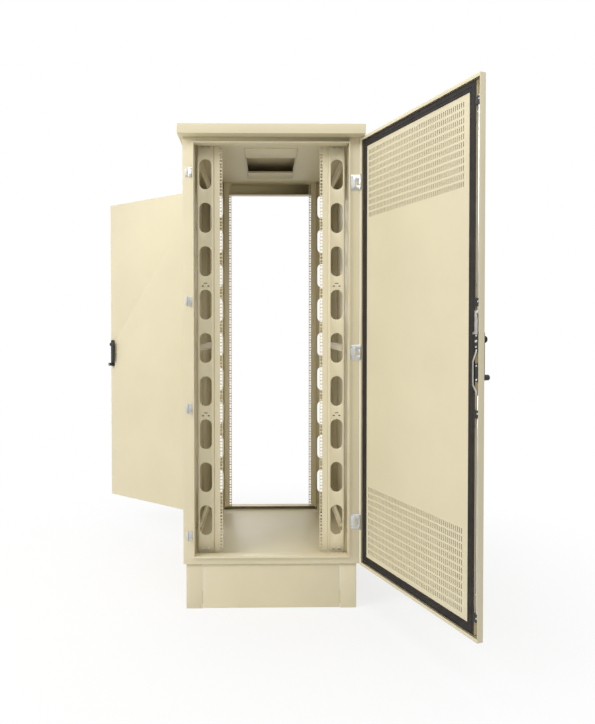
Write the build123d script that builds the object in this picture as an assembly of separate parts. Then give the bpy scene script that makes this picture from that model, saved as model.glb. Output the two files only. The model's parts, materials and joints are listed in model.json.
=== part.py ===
from build123d import *
import math
import os

# 19-inch rack: 42 units of three square holes, which set the height of the cabinet
UNITS = 42
UNIT_HEIGHT = 44.45
HOLE_STEPS = (6.35, 22.225, 38.1)
HOLE_WIDTH = 9.5
RACK_HOLE_SPACING = 465.1
RACK_HEIGHT = UNITS * UNIT_HEIGHT

# Body: a folded sheet cabinet on a plinth, front at -Y, floor at Z = 0
BODY_WIDTH = 800.0
BODY_DEPTH = 900.0
PLINTH_HEIGHT = 208.0
FLOOR_PAN_HEIGHT = 8.0
RACK_LIFT = 35.65
RACK_HEADROOM = 22.45
SHEET = 2.0
BEND = 3.0
BODY_HEIGHT = FLOOR_PAN_HEIGHT + RACK_LIFT + RACK_HEIGHT + RACK_HEADROOM
BODY_BOTTOM = PLINTH_HEIGHT
BODY_TOP = BODY_BOTTOM + BODY_HEIGHT
HALF_WIDTH = BODY_WIDTH / 2
HALF_DEPTH = BODY_DEPTH / 2

# Roof hood
ROOF_HEIGHT = 44.0
ROOF_SIDE_OVERHANG = 17.5
ROOF_END_OVERHANG = 60.0
ROOF_EDGE_RADIUS = 3.0

# Door openings in the two frames
STILE_WIDTH = 51.0
FRONT_HEAD = 28.0
FRONT_SILL = 37.0
REAR_HEAD = 75.0
REAR_SILL = 26.0
FRAME_RETURN = 38.0
LIP_WIDTH = 7.0

# Plinth
PLINTH_SIDE_INSET = 11.0
PLINTH_END_INSET = 12.0
POST_WIDTH = 74.0
POST_SIDE_WIDTH = 60.0
PANEL_GAP = 2.0
FOOT_WIDTH = 62.0
TONGUE_LENGTH = 24.0
TONGUE_LOW = 20.0
TONGUE_HIGH = 80.0
FOOT_BOLT_INSET = 34.0
FLOOR_BOLT_SPACING_X = BODY_WIDTH - 2 * (PLINTH_SIDE_INSET + FOOT_BOLT_INSET)
FLOOR_BOLT_SPACING_Y = BODY_DEPTH - 2 * (PLINTH_END_INSET + FOOT_BOLT_INSET)
FLOOR_BOLT_RADIUS = 7.0

# Floor pan and ceiling
PAN_CLEARANCE = 0.5
PAN_FLANGE = 45.0
CEILING_DROP = 11.0
VENT_WIDTH = 252.0
VENT_LENGTH = 596.0
VENT_CENTRE_Y = -28.0
HATCH_WIDTH = 240.0
HATCH_LENGTH = 300.0
HATCH_CENTRE_Y = -21.0
TRAY_DROP = 5.0
TRAY_CLEARANCE = 2.5
TRAY_FLANGE = 14.0

# Rack rails
RAIL_HOLE_INSET = 7.55
RAIL_OPENING = RACK_HOLE_SPACING - 2 * RAIL_HOLE_INSET
RAIL_SET_BACK = 70.0
RAIL_FLANGE = 39.0
RAIL_RETURN = 40.0
RACK_BASE = BODY_BOTTOM + FLOOR_PAN_HEIGHT + RACK_LIFT
RAIL_END_MARGIN = 9.0
RAIL_LOW = RACK_BASE - RAIL_END_MARGIN
RAIL_HIGH = RACK_BASE + RACK_HEIGHT + RAIL_END_MARGIN

# Slotted cable panels beside the rails
CABLE_PANEL_WIDTH = 78.0
CABLE_PANEL_RETURN = 15.0
CABLE_PANEL_STEP = 6.0
CABLE_PANEL_BEND = 6.0
SLOT_COUNT = 9
SLOT_PITCH = 200.0
SLOT_RISE = 4.9
SLOT_MIDDLE_Z = RACK_BASE + RACK_HEIGHT / 2 + SLOT_RISE
SLOT_LENGTH = 138.0
SLOT_WIDTH = 56.0

# Depth members and brackets of the rack frame
MEMBER_LOW_MARGIN = 102.0
MEMBER_HIGH_MARGIN = 77.0
MEMBER_HEIGHTS = (RAIL_LOW + MEMBER_LOW_MARGIN, SLOT_MIDDLE_Z, RAIL_HIGH - MEMBER_HIGH_MARGIN)
MEMBER_DEPTH = 32.0
MEMBER_WIDTH = 15.0
BRACKET_WIDTH = 60.0
BRACKET_HEIGHT = 44.0
BRACKET_FOOT = 38.0
SCREW_FLATS = 9.0
SCREW_HEAD = 2.5
SCREW_SPREAD = 26.0
SCREW_EDGE = 14.0

# Doors: a shallow steel tray with an inner liner and a seal between them and the frame
DOOR_EDGE_INSET = 1.0
DOOR_WIDTH = BODY_WIDTH - 2 * DOOR_EDGE_INSET
DOOR_THICKNESS = 25.0
DOOR_SHEET = 1.5
DOOR_GAP = 8.0
FRONT_DOOR_DROP = 2.0
FRONT_DOOR_HEAD = 4.0
REAR_DOOR_DROP = 24.0
REAR_DOOR_HEAD = 45.0
FRONT_DOOR_BOTTOM = BODY_BOTTOM - FRONT_DOOR_DROP
FRONT_DOOR_TOP = BODY_TOP - FRONT_DOOR_HEAD
REAR_DOOR_BOTTOM = BODY_BOTTOM - REAR_DOOR_DROP
REAR_DOOR_TOP = BODY_TOP - REAR_DOOR_HEAD
FRONT_DOOR_ANGLE = 111.45
REAR_DOOR_ANGLE = 143.2
RIM_LIP = 13.0
LINER_MARGIN = 15.0
LINER_SETBACK = 8.0
LINER_SHEET = 1.2
LINER_BEND = 4.0
LOCK_CHANNEL = 27.0
DOOR_EDGE_RADIUS = 1.5
SEAL_WIDTH = 33.0
SEAL_THICKNESS = 4.0
SEAL_CLEARANCE = 0.3
LINER_SLOT_COLUMNS = 14
LINER_SLOT_ROWS = 2
LINER_SLOT_WIDTH = 12.0
LINER_SLOT_LENGTH = 140.0
LINER_SLOT_ROW_PITCH = 160.0
LINER_BLOCK_WIDTH = 640.0
LINER_BLOCK_OFFSET = 222.0

# Hinges
HINGE_FROM_BOTTOM = 195.0
HINGE_FROM_TOP = 199.0
HINGE_LENGTH = 68.0
HINGE_MIDDLE = 26.0
HINGE_OUTER_RADIUS = 4.5
HINGE_PIN_RADIUS = 2.5
HINGE_FIT = 0.05
HINGE_PLAY = 0.3
HINGE_LEAF = 2.5
HINGE_LEAF_WIDTH = 40.0
HINGE_WINDOW_REACH = 14.0
HINGE_RIB_WIDTH = 7.0
HINGE_RIB_HEIGHT = 4.0
HINGE_RIB_LENGTH = 42.0
HINGE_RIB_FROM_AXIS = 18.0
HINGE_CORNER = 4.0
HINGE_AXIS_OUT = 6.0
HINGE_NOTCH = 1.5

# Lock: a turning lever drives one pair of rods whose rollers drop into keepers
FRONT_LOCK_HEIGHT = 1182.0
REAR_LOCK_HEIGHT = 1122.0
KEEPER_FROM_BOTTOM = 133.0
KEEPER_BELOW_LOCK = 264.0
KEEPER_ABOVE_LOCK = 222.0
KEEPER_FROM_TOP = 153.0
GUIDE_OFFSETS = (-54.0, 67.0, -38.0, 64.0)
ROD_OVERRUN = 4.0
ROD_TRAVEL = 18.0
ROD_RADIUS = 4.0
ROD_FROM_EDGE = 14.0
ROD_DEPTH = 10.0
ROD_FIT = 0.3
ROLLER_RADIUS = 3.0
ROLLER_LENGTH = 19.0
ROLLER_INBOARD = 10.0
KEEPER_WIDTH = 29.0
KEEPER_HEIGHT = 42.0
KEEPER_BASE = 2.5
KEEPER_HOOK_THICKNESS = 2.5
KEEPER_HOOK_SETBACK = 1.0
KEEPER_INSET = 26.0
KEEPER_CLEARANCE = 2.0
KEEPER_CORNER = 4.0
GUIDE_WIDTH = 23.0
GUIDE_HEIGHT = 28.0
GUIDE_DEPTH = 19.0
GUIDE_CORNER = 3.0
CASE_WIDTH = 22.0
SLIDE_MARGIN = 1.0
SLIDE_THICKNESS = 6.0
SLIDE_CHAMFER = 1.2
CASE_CORNER = 3.0
GEAR_CASE_HEIGHT = 70.0
GEAR_CASE_OFFSET = 50.0
SLIDE_HEIGHT = 51.0
LOWER_CASE_HEIGHT = 62.0
LOWER_CASE_OFFSET = -55.0
STRIP_THICKNESS = 2.5
STRIP_TAB = 19.0
STRIP_TAB_HEIGHT = 9.0
STRIP_NECK = 10.0
STRIP_BODY = 16.0
STRIP_TAPER = 20.0
STRIP_FOOT = 25.0
STRIP_FOOT_HEIGHT = 10.0
STRIP_DEPTH = 1.0
LINK_WIDTH = 7.0
UPPER_JOINT = 150.0
LOWER_JOINT = -126.0
JOINT_END = 6.0
LINK_JOG = 17.0
LINK_STRAIGHT = 6.0
LINK_RUN_TOP = 42.0
LINK_RUN_BOTTOM = 28.0
SLIDE_CLEARANCE = 0.5

# Handle on the outer face
HANDLE_INSET = 20.0
DISH_WIDTH = 34.0
DISH_LENGTH = 172.0
DISH_BASE = 5.0
HUB_RADIUS = 13.0
HUB_HEIGHT = 10.0
HUB_TAPER = 2.0
HUB_FROM_TOP = 28.0
HUB_FIT = 0.1
SPINDLE_RADIUS = 4.0
SPINDLE_DEPTH = 12.0
LEVER_WIDTH = 22.0
LEVER_THICKNESS = 13.0
LEVER_GAP = 0.5
LEVER_LENGTH = 122.0
LEVER_TIP = 12.0
LEVER_EDGE = 3.0
DISH_EDGE = 2.0
LOCK_BARREL_RADIUS = 10.0
LOCK_BARREL_HEIGHT = 28.0
LOCK_BARREL_FROM_BOTTOM = 13.0
LOCK_BARREL_COLLAR = 2.0
LOCK_BARREL_CHAMFER = 1.0


def block(x0, x1, y0, y1, z0, z1):
    """A straight sided block between two corners."""
    centre = Pos((x0 + x1) / 2, (y0 + y1) / 2, (z0 + z1) / 2)
    return centre * Box(abs(x1 - x0), abs(y1 - y0), abs(z1 - z0))


def upright_ring(outer, inner, y0, y1):
    """A rectangular ring in the XZ plane; each size is (x0, x1, z0, z1)."""
    ring = block(outer[0], outer[1], y0, y1, outer[2], outer[3])
    hole = block(inner[0], inner[1], y0 - 1, y1 + 1, inner[2], inner[3])
    return ring - hole


def flat_ring(outer, inner, z0, z1):
    """A rectangular ring lying flat; each size is (x0, x1, y0, y1)."""
    ring = block(outer[0], outer[1], outer[2], outer[3], z0, z1)
    hole = block(inner[0], inner[1], inner[2], inner[3], z0 - 1, z1 + 1)
    return ring - hole


def grown(size, margin):
    """A rectangle (low, high, low, high) grown by a margin on all sides."""
    return (size[0] - margin, size[1] + margin, size[2] - margin, size[3] + margin)


def upright_cylinder(x, y, z0, z1, radius):
    return Pos(x, y, (z0 + z1) / 2) * Cylinder(radius, z1 - z0)


def cylinder_along_x(x0, x1, y, z, radius):
    return Pos((x0 + x1) / 2, y, z) * Rot(0, 90, 0) * Cylinder(radius, x1 - x0)


def cylinder_along_y(x, y0, y1, z, radius):
    return Pos(x, (y0 + y1) / 2, z) * Rot(90, 0, 0) * Cylinder(radius, y1 - y0)


def perforated_wall(x0, x1, z0, z1, y0, y1, openings):
    """An upright sheet facing Y with the given opening outlines, drawn as (x, z)."""
    plane = Plane(origin=(0, y0, 0), x_dir=(1, 0, 0), z_dir=(0, -1, 0))
    outline = Pos((x0 + x1) / 2, (z0 + z1) / 2) * Rectangle(x1 - x0, z1 - z0)
    holes = [opening.wires()[0] for opening in openings]
    sheet = Face(outline.wires()[0], holes)
    return extrude(plane * sheet, amount=y1 - y0, dir=(0, 1, 0))


def folded_section(path, thickness, bend):
    """The section of a folded sheet that lies to the left of a path through its face."""
    line = FilletPolyline(*path, radius=bend)
    return make_face(offset(line, amount=thickness, side=Side.LEFT))


def upright_fold(path, thickness, bend, z0, z1):
    """A sheet folded along upright lines; the path is drawn as (x, y)."""
    return extrude(Pos(0, 0, z0) * folded_section(path, thickness, bend), amount=z1 - z0)


def fold_along_y(path, thickness, bend, y0, y1):
    """A sheet folded along lines that run front to rear; the path is drawn as (x, z)."""
    plane = Plane(origin=(0, y0, 0), x_dir=(1, 0, 0), z_dir=(0, -1, 0))
    section = plane * folded_section(path, thickness, bend)
    return extrude(section, amount=y1 - y0, dir=(0, 1, 0))


def fold_along_x(path, thickness, bend, x0, x1):
    """A sheet folded along lines that run left to right; the path is drawn as (y, z)."""
    plane = Plane(origin=(x0, 0, 0), x_dir=(0, 1, 0), z_dir=(1, 0, 0))
    return extrude(plane * folded_section(path, thickness, bend), amount=x1 - x0)


def door_outline(outline, out0, out1):
    """A flat outline drawn on a door as (x, z), made as thick as the two depths say."""
    plane = Plane(origin=(0, door_y(out0), 0), x_dir=(1, 0, 0), z_dir=(0, -1, 0))
    return extrude(plane * outline, amount=out1 - out0, dir=(0, 1, 0))


def mirrored_x(shape):
    return mirror(shape, about=Plane.YZ)


def turned_half(shape):
    """The same piece on the opposite end of the cabinet, turned half round."""
    return Rot(0, 0, 180) * shape


# Body panels

def side_panel():
    """The right-hand wall with folded edges at front and rear."""
    y = HALF_DEPTH - SHEET
    inner = HALF_WIDTH - STILE_WIDTH / 2
    path = [(inner, -y), (HALF_WIDTH, -y), (HALF_WIDTH, y), (inner, y)]
    return upright_fold(path, SHEET, BEND, BODY_BOTTOM, BODY_TOP)


def frame_opening(head, sill):
    x = HALF_WIDTH - STILE_WIDTH
    return (-x, x, BODY_BOTTOM + sill, BODY_TOP - head)


def door_frame(head, sill):
    """The rear frame: a flat face, a raised lip round the opening and an inner return."""
    opening = frame_opening(head, sill)
    outer = (-HALF_WIDTH, HALF_WIDTH, BODY_BOTTOM, BODY_TOP)
    lip_height = DOOR_GAP + LINER_SETBACK - SEAL_THICKNESS - SEAL_CLEARANCE
    face = upright_ring(outer, opening, HALF_DEPTH - SHEET, HALF_DEPTH)
    lip = upright_ring(grown(opening, LIP_WIDTH), opening, HALF_DEPTH, HALF_DEPTH + lip_height)
    channel = upright_ring(
        grown(opening, LIP_WIDTH - SHEET),
        grown(opening, SHEET),
        HALF_DEPTH - SHEET,
        HALF_DEPTH + lip_height - SHEET,
    )
    inside = upright_ring(
        grown(opening, SHEET), opening, HALF_DEPTH - FRAME_RETURN, HALF_DEPTH - SHEET
    )
    return face + lip + inside - channel


def frame_members(head, sill):
    """The frame's two stiles, its header and its sill, welded at the opening's corners."""
    frame = door_frame(head, sill)
    x0, x1, z0, z1 = frame_opening(head, sill)
    y0 = HALF_DEPTH - FRAME_RETURN
    y1 = HALF_DEPTH + DOOR_GAP + LINER_SETBACK
    places = [
        (-HALF_WIDTH, x0, BODY_BOTTOM, BODY_TOP),
        (x1, HALF_WIDTH, BODY_BOTTOM, BODY_TOP),
        (x0, x1, BODY_BOTTOM, z0 + LIP_WIDTH),
        (x0, x1, z1 - LIP_WIDTH, BODY_TOP),
    ]
    return [frame & block(a, b, y0, y1, low, high) for a, b, low, high in places]


def floor_pan():
    """A shallow pan whose folded lower flange rests on the plinth's corner posts."""
    x = HALF_WIDTH - SHEET - PAN_CLEARANCE
    y = HALF_DEPTH - SHEET - SHEET - PAN_CLEARANCE
    top = BODY_BOTTOM + FLOOR_PAN_HEIGHT
    outer = (-x, x, -y, y)
    plate = block(-x, x, -y, y, top - SHEET, top)
    rim = flat_ring(outer, grown(outer, -SHEET), BODY_BOTTOM, top)
    flange = flat_ring(outer, grown(outer, -PAN_FLANGE), BODY_BOTTOM, BODY_BOTTOM + SHEET)
    return plate + rim + flange


CEILING_UNDERSIDE = BODY_TOP - CEILING_DROP - SHEET


def ceiling_plate():
    x = HALF_WIDTH - SHEET - PAN_CLEARANCE
    y = HALF_DEPTH - SHEET - SHEET - PAN_CLEARANCE
    outer = (-x, x, -y, y)
    vent = (
        -VENT_WIDTH / 2,
        VENT_WIDTH / 2,
        VENT_CENTRE_Y - VENT_LENGTH / 2,
        VENT_CENTRE_Y + VENT_LENGTH / 2,
    )
    plate = flat_ring(outer, vent, CEILING_UNDERSIDE, CEILING_UNDERSIDE + SHEET)
    up = CEILING_UNDERSIDE + SHEET
    rim = flat_ring(outer, grown(outer, -SHEET), up, BODY_TOP)
    return plate + rim


def ceiling_vent_tray():
    """A tray in the ceiling cut-out, its bottom a little below the ceiling, with a hatch."""
    half = VENT_WIDTH / 2 - TRAY_CLEARANCE
    length = VENT_LENGTH / 2 - TRAY_CLEARANCE
    outer = (-half, half, VENT_CENTRE_Y - length, VENT_CENTRE_Y + length)
    hatch = (
        -HATCH_WIDTH / 2,
        HATCH_WIDTH / 2,
        HATCH_CENTRE_Y - HATCH_LENGTH / 2,
        HATCH_CENTRE_Y + HATCH_LENGTH / 2,
    )
    low = CEILING_UNDERSIDE - TRAY_DROP
    bottom = flat_ring(outer, hatch, low, low + SHEET)
    rest = CEILING_UNDERSIDE + SHEET
    wall = flat_ring(outer, grown(outer, -SHEET), low, rest + SHEET)
    flange = flat_ring(grown(outer, TRAY_FLANGE), grown(outer, -SHEET), rest, rest + SHEET)
    hatch_wall = flat_ring(grown(hatch, SHEET), hatch, low, rest + SHEET)
    return bottom + wall + flange + hatch_wall


def roof_hood():
    """A folded hood whose inner lips rest on the top of the body."""
    x = HALF_WIDTH + ROOF_SIDE_OVERHANG
    y = HALF_DEPTH + ROOF_END_OVERHANG
    top = BODY_TOP + ROOF_HEIGHT
    hood = block(-x, x, -y, y, BODY_TOP, top)
    corners = hood.edges().filter_by(Axis.Z)
    top_edges = hood.faces().sort_by(Axis.Z)[-1].edges()
    hood = fillet(corners + top_edges, ROOF_EDGE_RADIUS)
    hollow = block(
        -x + SHEET, x - SHEET, -y + SHEET, y - SHEET, BODY_TOP + SHEET, top - SHEET
    )
    mouth_x = HALF_WIDTH - SHEET - SHEET
    mouth_y = HALF_DEPTH - SHEET - SHEET
    mouth = block(-mouth_x, mouth_x, -mouth_y, mouth_y, BODY_TOP - 1, BODY_TOP + 2 * SHEET)
    return hood - hollow - mouth


# Plinth

def plinth_corner_post():
    """The post of the right front corner: two walls, a top plate and a drilled foot."""
    x1 = HALF_WIDTH - PLINTH_SIDE_INSET
    y0 = -HALF_DEPTH + PLINTH_END_INSET
    path = [(x1 - POST_WIDTH, y0), (x1, y0), (x1, y0 + POST_SIDE_WIDTH)]
    angle = upright_fold(path, SHEET, BEND, 0, PLINTH_HEIGHT)
    inner = (x1 - FOOT_WIDTH, x1 - SHEET, y0 + SHEET, y0 + FOOT_WIDTH)
    foot = block(*inner, 0, 2 * SHEET)
    bolt = upright_cylinder(
        FLOOR_BOLT_SPACING_X / 2, -FLOOR_BOLT_SPACING_Y / 2, -1, 3 * SHEET, FLOOR_BOLT_RADIUS
    )
    cap = block(*inner, PLINTH_HEIGHT - SHEET, PLINTH_HEIGHT)
    return angle + cap + foot - bolt


def plinth_corner_posts():
    post = plinth_corner_post()
    back = mirror(post, about=Plane.XZ)
    return [post, mirrored_x(post), back, mirrored_x(back)]


def plinth_end_panel():
    """The removable front panel between the posts, with folded top and bottom edges."""
    x = HALF_WIDTH - PLINTH_SIDE_INSET - POST_WIDTH - PANEL_GAP
    y0 = -HALF_DEPTH + PLINTH_END_INSET
    y1 = y0 + RIM_LIP
    path = [(y1, PLINTH_HEIGHT), (y0, PLINTH_HEIGHT), (y0, SHEET), (y1, SHEET)]
    channel = fold_along_x(path, SHEET, BEND, -x, x)
    tongue = block(
        -x - TONGUE_LENGTH, x + TONGUE_LENGTH, y0 + SHEET, y0 + 2 * SHEET,
        TONGUE_LOW, TONGUE_HIGH,
    )
    return channel + tongue


def plinth_side_panel():
    x1 = HALF_WIDTH - PLINTH_SIDE_INSET
    y = HALF_DEPTH - PLINTH_END_INSET - POST_SIDE_WIDTH - PANEL_GAP
    x0 = x1 - RIM_LIP
    path = [(x0, SHEET), (x1, SHEET), (x1, PLINTH_HEIGHT), (x0, PLINTH_HEIGHT)]
    return fold_along_y(path, SHEET, BEND, -y, y)


# Rack frame

RAIL_FACE = HALF_DEPTH - RAIL_SET_BACK
RAIL_OUTER_X = RAIL_OPENING / 2 + RAIL_FLANGE


def rack_rail(hole_outlines):
    """The right front rail: a drilled flange and a return towards the rear."""
    fold_start = RAIL_OUTER_X - 2 * BEND
    flange = perforated_wall(
        RAIL_OPENING / 2, fold_start, RAIL_LOW, RAIL_HIGH, -RAIL_FACE, -RAIL_FACE + SHEET,
        hole_outlines,
    )
    path = [
        (fold_start, -RAIL_FACE),
        (RAIL_OUTER_X, -RAIL_FACE),
        (RAIL_OUTER_X, -RAIL_FACE + RAIL_RETURN),
    ]
    return flange + upright_fold(path, SHEET, BEND, RAIL_LOW, RAIL_HIGH)


def square_holes():
    """Three square holes for each rack unit."""
    x = RACK_HOLE_SPACING / 2
    return [
        Pos(x, RACK_BASE + unit * UNIT_HEIGHT + step) * Rectangle(HOLE_WIDTH, HOLE_WIDTH)
        for unit in range(UNITS)
        for step in HOLE_STEPS
    ]


PANEL_FACE = RAIL_FACE + CABLE_PANEL_STEP
PANEL_INNER_X = RAIL_OUTER_X
PANEL_OUTER_X = PANEL_INNER_X + CABLE_PANEL_WIDTH
PANEL_MIDDLE_X = (PANEL_INNER_X + PANEL_OUTER_X) / 2


def cable_panel():
    """The right front cable panel: a folded strip with rounded slots."""
    y0 = -PANEL_FACE
    y1 = -PANEL_FACE + CABLE_PANEL_RETURN
    path = [(PANEL_INNER_X, y1), (PANEL_INNER_X, y0), (PANEL_OUTER_X, y0), (PANEL_OUTER_X, y1)]
    panel = upright_fold(path, SHEET, CABLE_PANEL_BEND, RAIL_LOW, RAIL_HIGH)
    plane = Plane(origin=(PANEL_MIDDLE_X, y0 - 1, 0), x_dir=(1, 0, 0), z_dir=(0, -1, 0))
    for number in range(SLOT_COUNT):
        height = SLOT_MIDDLE_Z + (number - (SLOT_COUNT - 1) / 2) * SLOT_PITCH
        slot = plane * Pos(0, height) * SlotOverall(SLOT_LENGTH, SLOT_WIDTH, rotation=90)
        panel -= extrude(slot, amount=2 * SHEET, dir=(0, 1, 0))
    return panel


def depth_members():
    """Three channels on the right side, held by the outer folds of the cable panels."""
    outer = PANEL_OUTER_X - SHEET
    inner = outer - MEMBER_WIDTH
    reach = PANEL_FACE - CABLE_PANEL_BEND
    members = []
    for height in MEMBER_HEIGHTS:
        low = height - MEMBER_DEPTH / 2
        high = height + MEMBER_DEPTH / 2
        path = [(inner, low), (outer, low), (outer, high), (inner, high)]
        members.append(fold_along_y(path, SHEET, BEND, -reach, reach))
    return members


def rack_brackets():
    """Angle brackets that tie the cable panels to the floor and to the ceiling."""
    x0 = PANEL_MIDDLE_X - BRACKET_WIDTH / 2
    x1 = PANEL_MIDDLE_X + BRACKET_WIDTH / 2
    y0 = -PANEL_FACE + SHEET
    y1 = y0 + BRACKET_FOOT
    floor = BODY_BOTTOM + FLOOR_PAN_HEIGHT
    low_end = RAIL_LOW + BRACKET_HEIGHT / 2
    high_end = RAIL_HIGH - BRACKET_HEIGHT / 2
    corner = [
        fold_along_x([(y0, low_end), (y0, floor), (y1, floor)], SHEET, BEND, x0, x1),
        fold_along_x(
            [(y1, CEILING_UNDERSIDE), (y0, CEILING_UNDERSIDE), (y0, high_end)],
            SHEET, BEND, x0, x1,
        ),
    ]
    corner += [mirrored_x(piece) for piece in corner]
    return corner + [turned_half(piece) for piece in corner]


def hexagon_head(x, y, z):
    """A screw head that stands on a face towards -Y."""
    plane = Plane(origin=(x, y, z), x_dir=(1, 0, 0), z_dir=(0, -1, 0))
    return extrude(plane * RegularPolygon(SCREW_FLATS / 2, 6), amount=SCREW_HEAD)


def rack_screws():
    heads = [
        hexagon_head(PANEL_MIDDLE_X + side * SCREW_SPREAD / 2, -PANEL_FACE, height)
        for side in (-1, 1)
        for height in (RAIL_LOW + SCREW_EDGE, RAIL_HIGH - SCREW_EDGE)
    ]
    heads += [mirrored_x(head) for head in heads]
    return heads + [turned_half(head) for head in heads]


# Doors: all pieces are drawn on the closed rear door, hinged at the left rear corner.
# U runs from the hinge side edge to the free edge and OUT from the inner rim outwards.

def door_x(u):
    return -HALF_WIDTH + DOOR_EDGE_INSET + u


def door_y(out):
    return HALF_DEPTH + DOOR_GAP + out


def door_block(u0, u1, out0, out1, z0, z1):
    return block(door_x(u0), door_x(u1), door_y(out0), door_y(out1), z0, z1)


HINGE_X = -HALF_WIDTH + DOOR_EDGE_INSET
HINGE_Y = HALF_DEPTH + HINGE_AXIS_OUT
ROD_U = DOOR_WIDTH - ROD_FROM_EDGE
LINER_U1 = DOOR_WIDTH - LOCK_CHANNEL


def hinge_heights(bottom, top):
    return (bottom + HINGE_FROM_BOTTOM, (bottom + top) / 2, top - HINGE_FROM_TOP)


def keeper_heights(bottom, top, lock_height):
    return (
        bottom + KEEPER_FROM_BOTTOM,
        lock_height - KEEPER_BELOW_LOCK,
        lock_height + KEEPER_ABOVE_LOCK,
        top - KEEPER_FROM_TOP,
    )


def door_skin(bottom, top, hinges):
    """The outer tray: face, four edges and a narrow inner lip on three of them."""
    tray = door_block(0, DOOR_WIDTH, 0, DOOR_THICKNESS, bottom, top)
    outer_face = tray.faces().sort_by(Axis.Y)[-1]
    tray = fillet(outer_face.edges(), DOOR_EDGE_RADIUS)
    hollow = door_block(
        DOOR_SHEET, DOOR_WIDTH - DOOR_SHEET, DOOR_SHEET, DOOR_THICKNESS - DOOR_SHEET,
        bottom + DOOR_SHEET, top - DOOR_SHEET,
    )
    mouth = door_block(
        RIM_LIP, DOOR_WIDTH - DOOR_SHEET, -1, DOOR_SHEET + 1, bottom + RIM_LIP, top - RIM_LIP
    )
    skin = tray - hollow - mouth
    reach = HINGE_OUTER_RADIUS + HINGE_NOTCH
    depth = HINGE_AXIS_OUT - DOOR_GAP + reach
    for height in hinges:
        half = HINGE_LENGTH / 2 + HINGE_NOTCH
        skin -= door_block(-1, reach, -1, depth, height - half, height + half)
    return skin


def door_liner(bottom, top):
    """The inner liner: a pan with two blocks of vent slots."""
    low = bottom + LINER_MARGIN
    high = top - LINER_MARGIN
    column_pitch = LINER_BLOCK_WIDTH / LINER_SLOT_COLUMNS
    middle_x = (door_x(LINER_MARGIN) + door_x(LINER_U1)) / 2
    slots = []
    for block_z in (bottom + LINER_BLOCK_OFFSET, top - LINER_BLOCK_OFFSET):
        for row in range(LINER_SLOT_ROWS):
            z = block_z + (row - (LINER_SLOT_ROWS - 1) / 2) * LINER_SLOT_ROW_PITCH
            for column in range(LINER_SLOT_COLUMNS):
                x = middle_x + (column - (LINER_SLOT_COLUMNS - 1) / 2) * column_pitch
                slots.append(Pos(x, z) * Rectangle(LINER_SLOT_WIDTH, LINER_SLOT_LENGTH))
    face = perforated_wall(
        door_x(LINER_MARGIN), door_x(LINER_U1), low, high,
        door_y(LINER_SETBACK), door_y(LINER_SETBACK + LINER_SHEET), slots,
    )
    outer = (door_x(LINER_MARGIN), door_x(LINER_U1), low, high)
    wall = upright_ring(
        outer, grown(outer, -LINER_SHEET),
        door_y(LINER_SETBACK + LINER_SHEET), door_y(DOOR_THICKNESS - DOOR_SHEET),
    )
    return face + wall


def door_seal(bottom, top):
    outer = (
        door_x(LINER_MARGIN), door_x(LINER_U1), bottom + LINER_MARGIN, top - LINER_MARGIN
    )
    inner = grown(outer, -SEAL_WIDTH)
    return upright_ring(
        outer, inner, door_y(LINER_SETBACK - SEAL_THICKNESS), door_y(LINER_SETBACK)
    )


# Hinges: the frame leaf has two knuckles, the door leaf one between them

def knuckle(height, low, high):
    tube = upright_cylinder(HINGE_X, HINGE_Y, height + low, height + high, HINGE_OUTER_RADIUS)
    return tube, upright_cylinder(
        HINGE_X, HINGE_Y, height + low - 1, height + high + 1, HINGE_PIN_RADIUS + HINGE_FIT
    )


def hinge_frame_leaf(height):
    """A plate with rounded corners, a raised rib, a window and two knuckles on the pin."""
    half = HINGE_LENGTH / 2
    middle = HINGE_MIDDLE / 2
    outline = Pos(HINGE_X + HINGE_LEAF_WIDTH / 2, height) * Rectangle(
        HINGE_LEAF_WIDTH, HINGE_LENGTH
    )
    outline = fillet(outline.vertices().sort_by(Axis.X)[-2:], HINGE_CORNER)
    window = Pos(HINGE_X + HINGE_WINDOW_REACH / 2, height) * Rectangle(
        HINGE_WINDOW_REACH + 2, HINGE_MIDDLE + 2 * HINGE_PLAY
    )
    plane = Plane(origin=(0, HALF_DEPTH, 0), x_dir=(1, 0, 0), z_dir=(0, -1, 0))
    leaf = extrude(plane * (outline - window), amount=HINGE_LEAF, dir=(0, 1, 0))
    rib_outline = Pos(HINGE_X + HINGE_RIB_FROM_AXIS + HINGE_RIB_WIDTH / 2, height) * (
        SlotOverall(HINGE_RIB_LENGTH, HINGE_RIB_WIDTH, rotation=90)
    )
    rib = extrude(plane * rib_outline, amount=HINGE_LEAF + HINGE_RIB_HEIGHT, dir=(0, 1, 0))
    low_tube, low_bore = knuckle(height, -half, -middle - HINGE_PLAY)
    high_tube, high_bore = knuckle(height, middle + HINGE_PLAY, half)
    return leaf + rib + low_tube + high_tube - low_bore - high_bore


def hinge_door_leaf(height):
    """A plate on the inner lip with one knuckle and a long window."""
    middle = HINGE_MIDDLE / 2
    half = HINGE_LENGTH / 2
    inner_u = HINGE_OUTER_RADIUS + HINGE_NOTCH
    leaf = door_block(inner_u, RIM_LIP, -HINGE_LEAF, 0, height - half, height + half)
    arm = door_block(0, inner_u, -HINGE_LEAF, 0, height - middle, height + middle)
    tube, bore = knuckle(height, -middle, middle)
    return leaf + arm + tube - bore


def hinge_pin(height):
    half = HINGE_LENGTH / 2
    return upright_cylinder(HINGE_X, HINGE_Y, height - half, height + half, HINGE_PIN_RADIUS)


# Lock gear in the channel along the free edge

ROLLER_REST = KEEPER_HEIGHT / 2 + ROLLER_RADIUS + KEEPER_CLEARANCE
ROLLER_U0 = ROD_U - ROLLER_INBOARD
HOOK_U0 = ROLLER_U0 + KEEPER_HOOK_SETBACK


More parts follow.
